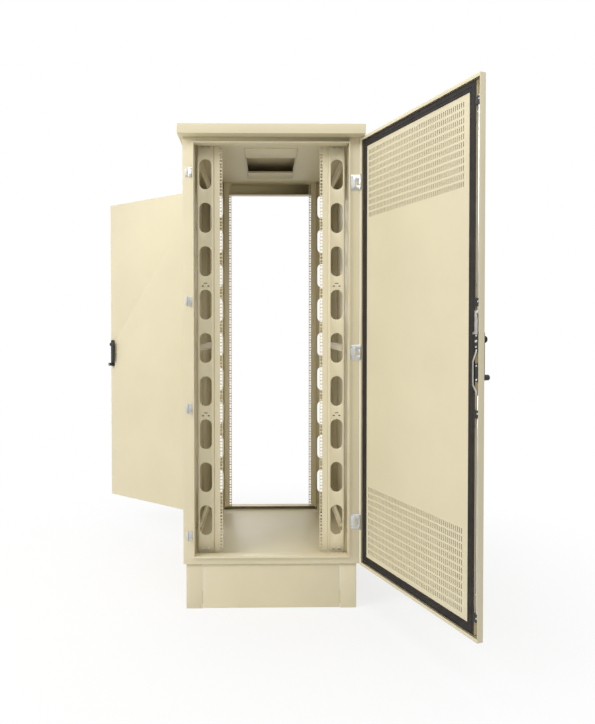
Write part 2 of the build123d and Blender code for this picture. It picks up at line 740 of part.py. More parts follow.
def keeper(height):
    """A plate on the stile with an upright hook that is open at the top."""
    half = KEEPER_HEIGHT / 2
    x1 = door_x(DOOR_WIDTH) - KEEPER_INSET + KEEPER_WIDTH / 2
    outline = Pos(x1 - KEEPER_WIDTH / 2, height) * RectangleRounded(
        KEEPER_WIDTH, KEEPER_HEIGHT, KEEPER_CORNER
    )
    base = door_outline(outline, -DOOR_GAP, -DOOR_GAP + KEEPER_BASE)
    hook = door_block(
        HOOK_U0, HOOK_U0 + KEEPER_HOOK_THICKNESS, -DOOR_GAP + KEEPER_BASE,
        ROD_DEPTH + 3 * ROLLER_RADIUS, height - half, height + half,
    )
    tips = hook.faces().sort_by(Axis.Y)[-1].edges().filter_by(Axis.X)
    hook = fillet(tips, KEEPER_CORNER)
    seat = height + ROLLER_REST - ROD_TRAVEL - ROLLER_RADIUS - SLIDE_CLEARANCE
    mouth = ROLLER_RADIUS + 2 * SLIDE_CLEARANCE
    slot = door_block(
        HOOK_U0 - 1, HOOK_U0 + KEEPER_HOOK_THICKNESS + 1, ROD_DEPTH - mouth, ROD_DEPTH + mouth,
        seat + mouth, height + half + 1,
    )
    seat_round = cylinder_along_x(
        door_x(HOOK_U0 - 1), door_x(HOOK_U0 + KEEPER_HOOK_THICKNESS + 1), door_y(ROD_DEPTH),
        seat + mouth, mouth,
    )
    return base + (hook - slot - seat_round)


def rod_guide(height):
    """A moulded block with a bore for the rod, fixed to the back of the outer skin."""
    outline = Pos(door_x(LINER_U1 + SLIDE_CLEARANCE + GUIDE_WIDTH / 2), height) * (
        RectangleRounded(GUIDE_WIDTH, GUIDE_HEIGHT, GUIDE_CORNER)
    )
    back = DOOR_THICKNESS - DOOR_SHEET
    guide = door_outline(outline, back - GUIDE_DEPTH, back)
    bore = upright_cylinder(
        door_x(ROD_U), door_y(ROD_DEPTH), height - GUIDE_HEIGHT, height + GUIDE_HEIGHT,
        ROD_RADIUS + ROD_FIT,
    )
    return guide - bore


def guide_heights(keepers):
    return [height + offset for height, offset in zip(keepers, GUIDE_OFFSETS)]


def lock_rods(keepers, lock_height):
    """The two round rods, the lower one first."""
    guides = guide_heights(keepers)
    overrun = GUIDE_HEIGHT / 2 + ROD_OVERRUN
    lower_top = lock_height + LOWER_JOINT + JOINT_END
    upper_bottom = lock_height + UPPER_JOINT - JOINT_END
    rods = []
    for z0, z1 in ((guides[0] - overrun, lower_top), (upper_bottom, guides[3] + overrun)):
        rods.append(upright_cylinder(door_x(ROD_U), door_y(ROD_DEPTH), z0, z1, ROD_RADIUS))
    return rods


def rod_rollers(keepers, lock_height):
    """Cross pins on the rods, with the two pins that join the rods to the flat strips."""
    pins = []
    for height in keepers:
        z = height + ROLLER_REST
        roller = cylinder_along_x(
            door_x(ROLLER_U0), door_x(ROLLER_U0 + ROLLER_LENGTH), door_y(ROD_DEPTH), z,
            ROLLER_RADIUS,
        )
        rod = upright_cylinder(
            door_x(ROD_U), door_y(ROD_DEPTH), z - 10, z + 10, ROD_RADIUS
        )
        pins += (roller - rod).solids()
    for z in (lock_height + LOWER_JOINT, lock_height + UPPER_JOINT):
        pins.append(
            cylinder_along_y(
                door_x(ROD_U), door_y(STRIP_DEPTH + STRIP_THICKNESS),
                door_y(ROD_DEPTH - ROD_RADIUS), z, ROLLER_RADIUS,
            )
        )
    return pins


def drive_slide(lock_height):
    """The moulded slide in front of the gear case."""
    outline = Pos(door_x(ROD_U), lock_height + GEAR_CASE_OFFSET) * RectangleRounded(
        CASE_WIDTH - 2 * SLIDE_MARGIN, SLIDE_HEIGHT, CASE_CORNER
    )
    slide = door_outline(outline, STRIP_DEPTH, STRIP_DEPTH + SLIDE_THICKNESS)
    front = slide.faces().sort_by(Axis.Y)[0]
    return chamfer(front.edges(), SLIDE_CHAMFER)


def flat_outline(points, width):
    """A flat strip that follows points (u, z), drawn on the face of the door."""
    left = offset_side(points, width / 2)
    right = offset_side(points, -width / 2)
    return Polygon(*[(door_x(u), z) for u, z in left + right[::-1]], align=None)


def offset_side(points, distance):
    """The points moved sideways, mitred at each bend."""
    moved = []
    for index, (u, z) in enumerate(points):
        before = points[max(index - 1, 0)]
        after = points[min(index + 1, len(points) - 1)]
        first = math.atan2(z - before[1], u - before[0]) if index else None
        last = math.atan2(after[1] - z, after[0] - u) if index < len(points) - 1 else None
        first = last if first is None else first
        last = first if last is None else last
        turn = (last - first) / 2
        middle = first + turn
        reach = distance / math.cos(turn)
        moved.append((u - reach * math.sin(middle), z + reach * math.cos(middle)))
    return moved


def drive_strips(lock_height):
    """The strip to the upper rod and the cranked link that passes the lower case."""
    middle = lock_height + GEAR_CASE_OFFSET
    foot = middle + SLIDE_HEIGHT / 2
    end = lock_height + UPPER_JOINT + JOINT_END
    left = ROD_U - STRIP_NECK
    neck = end - STRIP_TAB_HEIGHT
    upper_points = [
        (left, end),
        (left, foot + STRIP_FOOT_HEIGHT),
        (left + STRIP_BODY - STRIP_FOOT, foot + STRIP_FOOT_HEIGHT / 2),
        (left + STRIP_BODY - STRIP_FOOT, foot),
        (left + STRIP_BODY, foot),
        (left + STRIP_BODY, neck - STRIP_TAPER),
        (left + STRIP_NECK, neck),
        (left + STRIP_TAB, neck),
        (left + STRIP_TAB, end),
    ]
    upper_outline = Polygon(*[(door_x(u), z) for u, z in upper_points], align=None)
    upper = door_outline(upper_outline, STRIP_DEPTH, STRIP_DEPTH + STRIP_THICKNESS)
    top = middle - SLIDE_HEIGHT / 2
    side = ROD_U - LINK_JOG
    lower_outline = flat_outline(
        [
            (ROD_U, top),
            (ROD_U, top - LINK_STRAIGHT),
            (side, top - LINK_RUN_TOP),
            (side, lock_height + LOWER_JOINT + LINK_RUN_BOTTOM),
            (ROD_U, lock_height + LOWER_JOINT + JOINT_END),
            (ROD_U, lock_height + LOWER_JOINT - JOINT_END),
        ],
        LINK_WIDTH,
    )
    lower = door_outline(lower_outline, STRIP_DEPTH, STRIP_DEPTH + STRIP_THICKNESS)
    return [upper, lower]


def gear_case(lock_height):
    """The case behind the slide, with the bore for the handle's spindle."""
    outline = Pos(door_x(ROD_U), lock_height + GEAR_CASE_OFFSET) * RectangleRounded(
        CASE_WIDTH, GEAR_CASE_HEIGHT, CASE_CORNER
    )
    inner = STRIP_DEPTH + SLIDE_THICKNESS + SLIDE_CLEARANCE
    case = door_outline(outline, inner, DOOR_THICKNESS - DOOR_SHEET)
    return case - spindle(lock_height, HUB_FIT)


def lower_case(lock_height):
    outline = Pos(door_x(ROD_U), lock_height + LOWER_CASE_OFFSET) * RectangleRounded(
        CASE_WIDTH, LOWER_CASE_HEIGHT, CASE_CORNER
    )
    inner = STRIP_DEPTH + STRIP_THICKNESS + SLIDE_CLEARANCE
    case = door_outline(outline, inner, DOOR_THICKNESS - DOOR_SHEET)
    front = case.faces().sort_by(Axis.Y)[0]
    return chamfer(front.edges(), SLIDE_CHAMFER)


# Handle

HANDLE_U = DOOR_WIDTH - HANDLE_INSET


def turned_on_door(profile, u, z):
    """A turned piece that stands on the door; its half profile is (radius, out)."""
    plane = Plane(origin=(door_x(u), door_y(0), z), x_dir=(1, 0, 0), z_dir=(0, 0, 1))
    half = plane * Polygon(*profile, align=None)
    return revolve(half, axis=Axis((door_x(u), 0, z), (0, 1, 0)))


def hub_height(lock_height):
    return lock_height + DISH_LENGTH / 2 - HUB_FROM_TOP


def handle_dish(lock_height):
    """The base plate on the outer face, with a rounded end and the lock barrel's collar."""
    outline = Pos(door_x(HANDLE_U), lock_height) * RectangleRounded(
        DISH_WIDTH, DISH_LENGTH, DISH_WIDTH / 4
    )
    plate = door_outline(outline, DOOR_THICKNESS, DOOR_THICKNESS + DISH_BASE)
    plate = fillet(plate.faces().sort_by(Axis.Y)[-1].edges(), DISH_EDGE)
    return plate - spindle(lock_height, HUB_FIT)


def spindle(lock_height, extra):
    """The round shaft that the hub turns, through the skin into the gear case."""
    return cylinder_along_y(
        door_x(HANDLE_U), door_y(STRIP_DEPTH + SPINDLE_DEPTH), door_y(DOOR_THICKNESS + DISH_BASE + 1),
        hub_height(lock_height), SPINDLE_RADIUS + extra,
    )


def handle_hub(lock_height):
    base = DOOR_THICKNESS + DISH_BASE
    profile = [
        (0, STRIP_DEPTH + SPINDLE_DEPTH),
        (SPINDLE_RADIUS, STRIP_DEPTH + SPINDLE_DEPTH),
        (SPINDLE_RADIUS, base + HUB_FIT),
        (HUB_RADIUS, base + HUB_FIT),
        (HUB_RADIUS - HUB_TAPER, base + HUB_HEIGHT),
        (0, base + HUB_HEIGHT),
    ]
    return turned_on_door(profile, HANDLE_U, hub_height(lock_height))


def handle_lever(lock_height):
    """The grip, thinner towards the hub, lying over the base plate."""
    top = hub_height(lock_height) + HUB_RADIUS
    out0 = DOOR_THICKNESS + DISH_BASE + HUB_HEIGHT + LEVER_GAP
    profile = [
        (out0, top),
        (out0 + LEVER_THICKNESS * 0.6, top),
        (out0 + LEVER_THICKNESS, top - HUB_RADIUS),
        (out0 + LEVER_THICKNESS, top - LEVER_LENGTH + LEVER_TIP),
        (out0 + LEVER_THICKNESS * 0.7, top - LEVER_LENGTH),
        (out0, top - LEVER_LENGTH),
    ]
    side = door_x(HANDLE_U) - LEVER_WIDTH / 2
    plane = Plane(origin=(side, 0, 0), x_dir=(0, 1, 0), z_dir=(1, 0, 0))
    outline = Polygon(*[(door_y(out), z) for out, z in profile], align=None)
    lever = extrude(plane * outline, amount=LEVER_WIDTH)
    grip_edges = [
        edge for edge in lever.edges()
        if edge.center().Y > door_y(out0) + 1 and abs(edge.center().X - door_x(HANDLE_U)) > 1
    ]
    return fillet(grip_edges, LEVER_EDGE)


def lock_barrel(lock_height):
    """The key barrel in its collar below the lever."""
    z = lock_height - DISH_LENGTH / 2 + LOCK_BARREL_FROM_BOTTOM
    base = DOOR_THICKNESS + DISH_BASE
    end = base + LOCK_BARREL_HEIGHT
    profile = [
        (0, base),
        (LOCK_BARREL_RADIUS, base),
        (LOCK_BARREL_RADIUS, end - LOCK_BARREL_CHAMFER),
        (LOCK_BARREL_RADIUS - LOCK_BARREL_CHAMFER, end),
        (LOCK_BARREL_RADIUS / 2, end),
        (LOCK_BARREL_RADIUS / 2, end - LOCK_BARREL_COLLAR),
        (0, end - LOCK_BARREL_COLLAR),
    ]
    return turned_on_door(profile, HANDLE_U, z)


def door_pieces(bottom, top, lock_height):
    """Every piece that is carried by one door, drawn closed at the rear."""
    hinges = hinge_heights(bottom, top)
    keepers = keeper_heights(bottom, top, lock_height)
    skin = door_skin(bottom, top, hinges) - spindle(lock_height, HUB_FIT)
    rods = lock_rods(keepers, lock_height)
    return {
        "outer_skin": [skin],
        "inner_liner": [door_liner(bottom, top)],
        "seal": [door_seal(bottom, top)],
        "hinge_leaves": [hinge_door_leaf(height) for height in hinges],
        "rod_guides": [rod_guide(height) for height in guide_heights(keepers)],
        "gear_case": [gear_case(lock_height)],
        "lower_lock_case": [lower_case(lock_height)],
        "handle_base": [handle_dish(lock_height)],
        "lock_barrel": [lock_barrel(lock_height)],
        "handle_hub": [handle_hub(lock_height)],
        "handle_lever": [handle_lever(lock_height)],
        "lower_rod": [rods[0]],
        "upper_rod": [rods[1]],
        "rod_rollers": rod_rollers(keepers, lock_height),
        "drive_slide": [drive_slide(lock_height)],
        "drive_strips": drive_strips(lock_height),
    }


def swung_open(shape, angle):
    """A door piece turned about the hinge pins from closed to its place at rest."""
    return Pos(HINGE_X, HINGE_Y, 0) * Rot(0, 0, angle) * Pos(-HINGE_X, -HINGE_Y, 0) * shape


# Everything, by node name

def cabinet_nodes():
    wall = side_panel()
    front_rail = rack_rail(square_holes())
    rear_rail = mirror(front_rail, about=Plane.XZ)
    panel = cable_panel()
    rear_panel = mirror(panel, about=Plane.XZ)
    end_panel = plinth_end_panel()
    plinth_side = plinth_side_panel()
    members = depth_members()
    front_ends = (FRONT_DOOR_BOTTOM, FRONT_DOOR_TOP)
    rear_ends = (REAR_DOOR_BOTTOM, REAR_DOOR_TOP)
    front_hinges = hinge_heights(*front_ends)
    rear_hinges = hinge_heights(*rear_ends)
    front_leaves = [turned_half(hinge_frame_leaf(height)) for height in front_hinges]
    rear_leaves = [hinge_frame_leaf(height) for height in rear_hinges]
    front_pins = [turned_half(hinge_pin(height)) for height in front_hinges]
    rear_pins = [hinge_pin(height) for height in rear_hinges]
    front_keepers = keeper_heights(*front_ends, FRONT_LOCK_HEIGHT)
    rear_keepers = keeper_heights(*rear_ends, REAR_LOCK_HEIGHT)
    nodes = {
        "side_panel_right": [wall],
        "side_panel_left": [mirrored_x(wall)],
        "front_frame": [turned_half(piece) for piece in frame_members(FRONT_HEAD, FRONT_SILL)],
        "rear_frame": frame_members(REAR_HEAD, REAR_SILL),
        "floor_pan": [floor_pan()],
        "ceiling_plate": [ceiling_plate()],
        "ceiling_vent_tray": [ceiling_vent_tray()],
        "roof_hood": [roof_hood()],
        "plinth_corner_posts": plinth_corner_posts(),
        "plinth_front_panel": [end_panel],
        "plinth_rear_panel": [turned_half(end_panel)],
        "plinth_side_panels": [plinth_side, mirrored_x(plinth_side)],
        "rack_rail_front_right": [front_rail],
        "rack_rail_front_left": [mirrored_x(front_rail)],
        "rack_rail_rear_right": [rear_rail],
        "rack_rail_rear_left": [mirrored_x(rear_rail)],
        "cable_panel_front_right": [panel],
        "cable_panel_front_left": [mirrored_x(panel)],
        "cable_panel_rear_right": [rear_panel],
        "cable_panel_rear_left": [mirrored_x(rear_panel)],
        "depth_members_right": members,
        "depth_members_left": [mirrored_x(member) for member in members],
        "rack_brackets": rack_brackets(),
        "rack_screws": rack_screws(),
        "front_keepers": [turned_half(keeper(height)) for height in front_keepers],
        "rear_keepers": [keeper(height) for height in rear_keepers],
        "hinge_frame_leaves": front_leaves + rear_leaves,
        "hinge_pins": front_pins + rear_pins,
    }
    front = door_pieces(*front_ends, FRONT_LOCK_HEIGHT)
    rear = door_pieces(*rear_ends, REAR_LOCK_HEIGHT)
    for name, pieces in front.items():
        opened = [swung_open(piece, FRONT_DOOR_ANGLE) for piece in pieces]
        nodes["front_" + name] = [turned_half(piece) for piece in opened]
    for name, pieces in rear.items():
        nodes["rear_" + name] = [swung_open(piece, REAR_DOOR_ANGLE) for piece in pieces]
    return nodes


def main():
    os.makedirs("parts", exist_ok=True)
    for name, pieces in cabinet_nodes().items():
        solids = [solid for piece in pieces for solid in piece.solids()]
        shape = solids[0] if len(solids) == 1 else Compound(children=solids)
        export_step(shape, os.path.join("parts", name + ".step"))


main()
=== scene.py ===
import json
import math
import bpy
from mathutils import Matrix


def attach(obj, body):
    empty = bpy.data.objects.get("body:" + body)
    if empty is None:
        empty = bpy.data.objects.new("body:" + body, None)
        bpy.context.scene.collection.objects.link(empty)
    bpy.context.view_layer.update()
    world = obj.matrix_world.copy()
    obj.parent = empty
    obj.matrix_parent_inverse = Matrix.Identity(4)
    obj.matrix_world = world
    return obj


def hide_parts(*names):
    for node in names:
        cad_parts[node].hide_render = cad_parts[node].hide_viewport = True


bl_info = {
    "name": "Roadside cabinet dressing",
    "version": (1, 0, 0),
    "blender": (4, 5, 0),
    "location": "View3D > Sidebar > Cabinet",
    "description": "Paint, seals, vent slots and fittings for a roadside utility cabinet",
    "category": "Object",
}

import bmesh
import bpy
from mathutils import Matrix, Vector

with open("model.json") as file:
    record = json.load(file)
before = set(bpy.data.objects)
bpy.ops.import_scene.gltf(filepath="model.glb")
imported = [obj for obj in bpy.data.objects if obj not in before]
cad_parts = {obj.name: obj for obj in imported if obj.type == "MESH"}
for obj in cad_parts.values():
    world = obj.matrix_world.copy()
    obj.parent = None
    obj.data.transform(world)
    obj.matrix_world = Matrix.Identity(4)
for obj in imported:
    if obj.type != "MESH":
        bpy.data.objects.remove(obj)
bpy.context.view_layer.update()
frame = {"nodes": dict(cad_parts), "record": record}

MM = 0.001
ENDS = ("front", "rear")
# Metres and degrees, for every piece
MERGE_DISTANCE = 0.00002
FLAT_ANGLE = 1.0
SHARP_ANGLE = 32
# Degrees that each door stands open in the photo
OPEN_ANGLE = {"front": 111.45, "rear": 143.2}
# Millimetres, drawn at the closed rear door; the front door is the same turned half round
HINGE_X, HINGE_Y = -399.0, 456.0
DOOR_PLANE = 458.0
DOOR_BOTTOM = {"front": 206.0, "rear": 184.0}
DOOR_TOP = {"front": 2137.0, "rear": 2096.0}
LOCK_HEIGHT = {"front": 1182.0, "rear": 1122.0}
# Millimetres from the hinges across a door, and from the door's ends
LINER_START, LINER_END = 15.0, 771.0
LINER_INSET = 15.0
LINER_OUT = 8.0
LINER_THICKNESS = 1.2
LINER_RIM = 15.3
VENT_START, VENT_END = 61.0, 710.0
VENT_UP_FROM_BOTTOM = (64.0, 371.0)
VENT_DOWN_FROM_TOP = (369.0, 65.0)
# Half the metal left between two columns of slots and between two rows
SLOT_WEB, SLOT_BAR = 3.6, 3.9
PLACE_TOLERANCE = 0.01
# Millimetres at the rear of the body, the same for the front turned half round
STILE_FACE = 452.4
PANEL_FACE = 386.0
PANEL_MIDDLE = 303.0
# Millimetres on a door: across from its hinges, then up or down to hinges and keepers
HANDLE_ACROSS = 778.0
HINGE_ABOVE_BOTTOM, HINGE_BELOW_TOP = 195.0, 199.0
KEEPER_ABOVE_BOTTOM, KEEPER_BELOW_TOP = 133.0, 153.0
KEEPER_BELOW_LOCK, KEEPER_ABOVE_LOCK = 264.0, 222.0


class CabinetSizes(bpy.types.PropertyGroup):
    fold_radius: bpy.props.FloatProperty(
        name="Fold radius", description="Rounding of the sheet's folded edges",
        default=0.0008, min=0.0002, max=0.002, unit="LENGTH",
    )
    slot_columns: bpy.props.IntProperty(
        name="Vent columns", description="Slots side by side in each vent field of a door",
        default=57, min=20, max=120,
    )
    slot_rows: bpy.props.IntProperty(
        name="Vent rows", description="Rows of slots in each vent field of a door",
        default=11, min=4, max=20,
    )
    seal_bead: bpy.props.FloatProperty(
        name="Seal bead", description="Width of the raised bead along the seal",
        default=0.012, min=0.006, max=0.02, unit="LENGTH",
    )
    screw_radius: bpy.props.FloatProperty(
        name="Screw head", description="Radius of the pan heads on hinges and lock cases",
        default=0.0042, min=0.002, max=0.006, unit="LENGTH",
    )


class CabinetColours(bpy.types.PropertyGroup):
    paint: bpy.props.FloatVectorProperty(
        name="Paint", description="Powder coat of the body, the doors and the rack",
        subtype="COLOR", default=(0.715, 0.645, 0.450), min=0.0, max=1.0,
    )
    seal: bpy.props.FloatVectorProperty(
        name="Seal", description="Foamed seal round the door's liner",
        subtype="COLOR", default=(0.026, 0.023, 0.021), min=0.0, max=1.0,
    )
    zinc: bpy.props.FloatVectorProperty(
        name="Zinc plate", description="Plated rods, rollers, hinges and keepers",
        subtype="COLOR", default=(0.66, 0.66, 0.64), min=0.0, max=1.0,
    )
    black: bpy.props.FloatVectorProperty(
        name="Black plastic", description="Moulded guides and handles",
        subtype="COLOR", default=(0.018, 0.018, 0.018), min=0.0, max=1.0,
    )


# Materials

def shader_material(name):
    """A material with a bare Principled shader, and the pieces needed to build on it."""
    material = bpy.data.materials.new(name)
    material.use_nodes = True
    nodes = material.node_tree.nodes
    links = material.node_tree.links
    shader = nodes["Principled BSDF"]
    return material, nodes, links, shader


def object_noise(nodes, links, scale, detail, roughness=0.5):
    place = nodes.new("ShaderNodeTexCoord")
    noise = nodes.new("ShaderNodeTexNoise")
    noise.inputs["Scale"].default_value = scale
    noise.inputs["Detail"].default_value = detail
    noise.inputs["Roughness"].default_value = roughness
    links.new(place.outputs["Object"], noise.inputs["Vector"])
    return noise


def two_tones(nodes, links, factor, dark, light, low=0.3, high=0.7):
    ramp = nodes.new("ShaderNodeValToRGB")
    ramp.color_ramp.elements[0].position = low
    ramp.color_ramp.elements[0].color = (*dark, 1.0)
    ramp.color_ramp.elements[1].position = high
    ramp.color_ramp.elements[1].color = (*light, 1.0)
    links.new(factor, ramp.inputs["Fac"])
    return ramp


def add_bump(nodes, links, shader, height, strength, distance):
    bump = nodes.new("ShaderNodeBump")
    bump.inputs["Strength"].default_value = strength
    bump.inputs["Distance"].default_value = distance
    links.new(height, bump.inputs["Height"])
    links.new(bump.outputs["Normal"], shader.inputs["Normal"])


def vary_roughness(nodes, links, shader, factor, low, high):
    gloss = nodes.new("ShaderNodeMapRange")
    gloss.inputs["To Min"].default_value = low
    gloss.inputs["To Max"].default_value = high
    links.new(factor, gloss.inputs["Value"])
    links.new(gloss.outputs["Result"], shader.inputs["Roughness"])


def powder_coat():
    """Beige powder coat with a fine orange-peel texture and faint cloudiness."""
    material, nodes, links, shader = shader_material("beige_powder_coat")
    colour = bpy.context.scene.cabinet_colours.paint
    cloud = object_noise(nodes, links, 2.4, 4.0)
    dark = [channel * 0.955 for channel in colour]
    light = [min(1.0, channel * 1.02) for channel in colour]
    tone = two_tones(nodes, links, cloud.outputs["Fac"], dark, light)
    links.new(tone.outputs["Color"], shader.inputs["Base Color"])
    peel = object_noise(nodes, links, 620.0, 2.0, 0.55)
    add_bump(nodes, links, shader, peel.outputs["Fac"], 0.16, 0.0006)
    vary_roughness(nodes, links, shader, cloud.outputs["Fac"], 0.36, 0.46)
    shader.inputs["Specular IOR Level"].default_value = 0.5
    return material


def zinc_plate():
    """Bright zinc plate with fine drawn marks and a slight blue and yellow cast."""
    material, nodes, links, shader = shader_material("bright_zinc_plate")
    colour = bpy.context.scene.cabinet_colours.zinc
    cloud = object_noise(nodes, links, 38.0, 5.0)
    cool = [colour[0] * 0.88, colour[1] * 0.91, colour[2] * 0.97]
    warm = [colour[0] * 1.05, colour[1] * 1.03, colour[2] * 0.98]
    tone = two_tones(nodes, links, cloud.outputs["Fac"], cool, warm, 0.35, 0.65)
    links.new(tone.outputs["Color"], shader.inputs["Base Color"])
    shader.inputs["Metallic"].default_value = 1.0
    vary_roughness(nodes, links, shader, cloud.outputs["Fac"], 0.24, 0.4)
    marks = object_noise(nodes, links, 900.0, 3.0)
    add_bump(nodes, links, shader, marks.outputs["Fac"], 0.08, 0.0003)
    return material


def moulded_plastic():
    """Black moulded plastic with a fine spark-eroded grain."""
    material, nodes, links, shader = shader_material("black_moulding")
    colour = bpy.context.scene.cabinet_colours.black
    cloud = object_noise(nodes, links, 55.0, 3.0)
    dark = [channel * 0.85 for channel in colour]
    light = [min(1.0, channel * 1.25) for channel in colour]
    tone = two_tones(nodes, links, cloud.outputs["Fac"], dark, light)
    links.new(tone.outputs["Color"], shader.inputs["Base Color"])
    grain = object_noise(nodes, links, 1500.0, 2.0)
    add_bump(nodes, links, shader, grain.outputs["Fac"], 0.25, 0.0003)
    vary_roughness(nodes, links, shader, grain.outputs["Fac"], 0.38, 0.55)
    return material


def foamed_seal():
    """Dark foamed seal with small closed pores and a soft skin."""
    material, nodes, links, shader = shader_material("foamed_seal")
    colour = bpy.context.scene.cabinet_colours.seal
    cloud = object_noise(nodes, links, 30.0, 4.0)
    dark = [channel * 0.8 for channel in colour]
    light = [channel * 1.3 for channel in colour]
    tone = two_tones(nodes, links, cloud.outputs["Fac"], dark, light)
    links.new(tone.outputs["Color"], shader.inputs["Base Color"])
    pores = object_noise(nodes, links, 1100.0, 4.0, 0.7)
    add_bump(nodes, links, shader, pores.outputs["Fac"], 0.5, 0.0005)
    shader.inputs["Roughness"].default_value = 0.68
    shader.inputs["Specular IOR Level"].default_value = 0.25
    return material


def finishes():
    """The cabinet's materials by record slot, made once."""
    store = bpy.data.materials
    if "beige_powder_coat" not in store:
        powder_coat()
        zinc_plate()
        moulded_plastic()
        foamed_seal()
    return {
        "body_paint": store["beige_powder_coat"],
        "plinth_paint": store["beige_powder_coat"],
        "plated_steel": store["bright_zinc_plate"],
        "black_plastic": store["black_moulding"],
        "seal_foam": store["foamed_seal"],
    }


# Mesh helpers

def body_of_node(name):
    for body, nodes in frame["record"]["behaviour"]["bodies"].items():
        if name in nodes:
            return body
    raise RuntimeError("no body holds " + name)


def new_piece(name, bm, body, slot, replaces=()):
    """Turns a bmesh into a piece that rides on a body and wears that slot's finish."""
    bmesh.ops.recalc_face_normals(bm, faces=bm.faces)
    mesh = bpy.data.meshes.new(name)
    bm.to_mesh(mesh)
    bm.free()
    mesh.shade_smooth()
    mesh.set_sharp_from_angle(angle=math.radians(SHARP_ANGLE))
    piece = bpy.data.objects.new(name, mesh)
    bpy.context.scene.collection.objects.link(piece)
    piece.data.materials.append(finishes()[slot])
    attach(piece, body)
    if replaces:
        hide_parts(*replaces)


def frame_matrix(end):
    """From the rear of the cabinet in millimetres to that end in metres."""
    half_turn = Matrix.Rotation(math.pi, 4, "Z") if end == "front" else Matrix.Identity(4)
    return Matrix.Scale(MM, 4) @ half_turn


def door_matrix(end):
    """From the closed rear door in millimetres to that end's open door in metres."""
    hinge = Matrix.Translation((HINGE_X, HINGE_Y, 0.0))
    swing = hinge @ Matrix.Rotation(math.radians(OPEN_ANGLE[end]), 4, "Z") @ hinge.inverted()
    return frame_matrix(end) @ swing


def door_point(across, out, height):
    """A point of the closed rear door: from its hinges, off its plane and up."""
    return Vector((HINGE_X + across, DOOR_PLANE + out, height))


def place(bm, matrix):
    bmesh.ops.transform(bm, matrix=matrix, verts=bm.verts)


def add_block(bm, low, high):
    """A block between two corners; gives back its vertices."""
    low, high = Vector(low), Vector(high)
    made = bmesh.ops.create_cube(bm, size=1.0)["verts"]
    size = high - low
    matrix = Matrix.Translation((low + high) / 2) @ Matrix.Diagonal((*size, 1.0))
    bmesh.ops.transform(bm, matrix=matrix, verts=made)
    return made


def add_round(bm, start, end, radius, end_radius=None, segments=24):
    """A straight round bar or cone from start to end; gives back its vertices."""
    start, end = Vector(start), Vector(end)
    way = end - start
    turn = way.to_track_quat("Z", "Y").to_matrix().to_4x4()
    matrix = Matrix.Translation((start + end) / 2) @ turn
    made = bmesh.ops.create_cone(
        bm, cap_ends=True, segments=segments, radius1=radius,
        radius2=radius if end_radius is None else end_radius, depth=way.length, matrix=matrix,
    )
    return made["verts"]


def round_edges(bm, width, angle, segments=2, verts=None):
    """Rounds every edge sharper than the angle, of these vertices or of the whole mesh."""
    chosen = set(verts) if verts is not None else None
    sharp = []
    for edge in bm.edges:
        if len(edge.link_faces) != 2 or edge.calc_face_angle(0.0) < math.radians(angle):
            continue
        if chosen is None or (edge.verts[0] in chosen and edge.verts[1] in chosen):
            sharp.append(edge)
    bmesh.ops.bevel(
        bm, geom=sharp, offset=width, segments=segments, profile=0.5, affect="EDGES",
        material=-1, clamp_overlap=True,
    )


def add_pan_screw(bm, centre, way, radius, height):
    """A pan head with a round recess, its face turned along way."""
    centre, way = Vector(centre), Vector(way).normalized()
    turn = way.to_track_quat("Z", "Y").to_matrix().to_4x4()
    head = bmesh.ops.create_cone(
        bm, cap_ends=True, segments=20, radius1=radius, radius2=radius * 0.8, depth=height,
        matrix=Matrix.Translation(centre + way * height / 2) @ turn,
    )["verts"]
    top = max({face for vert in head for face in vert.link_faces},
              key=lambda face: face.calc_center_median().dot(way))
    bmesh.ops.inset_region(bm, faces=[top], thickness=radius * 0.42)
    bmesh.ops.translate(bm, vec=way * -height * 0.55, verts=top.verts)


def merged_copy(bm, node_name):
    """Adds a node's mesh to the bmesh and joins its loose triangles."""
    bm.from_mesh(frame["nodes"][node_name].data)
    bmesh.ops.remove_doubles(bm, verts=bm.verts, dist=MERGE_DISTANCE)


def softened_copy(name, node_name, width, slot):
    """A copy of a node with its sharp edges rounded, in place of the plain node."""
    bm = bmesh.new()
    merged_copy(bm, node_name)
    bmesh.ops.dissolve_limit(
        bm, angle_limit=math.radians(FLAT_ANGLE), verts=bm.verts, edges=bm.edges,
    )
    round_edges(bm, width, angle=40.0)
    new_piece(name, bm, body_of_node(node_name), slot, replaces=(node_name,))


# Pieces

class CABINET_OT_paint_frame(bpy.types.Operator):
    """Gives every carried-over solid the finish of its slot"""
    bl_idname = "cabinet.paint_frame"
    bl_label = "Paint the carried-over solids"

    def execute(self, context):
        store = finishes()
        slots = {entry["node"]: entry["material_slot"] for entry in frame["record"]["subparts"]}
        for name, node in frame["nodes"].items():
            node.data.materials.clear()
            node.data.materials.append(store[slots[name]])
        return {"FINISHED"}


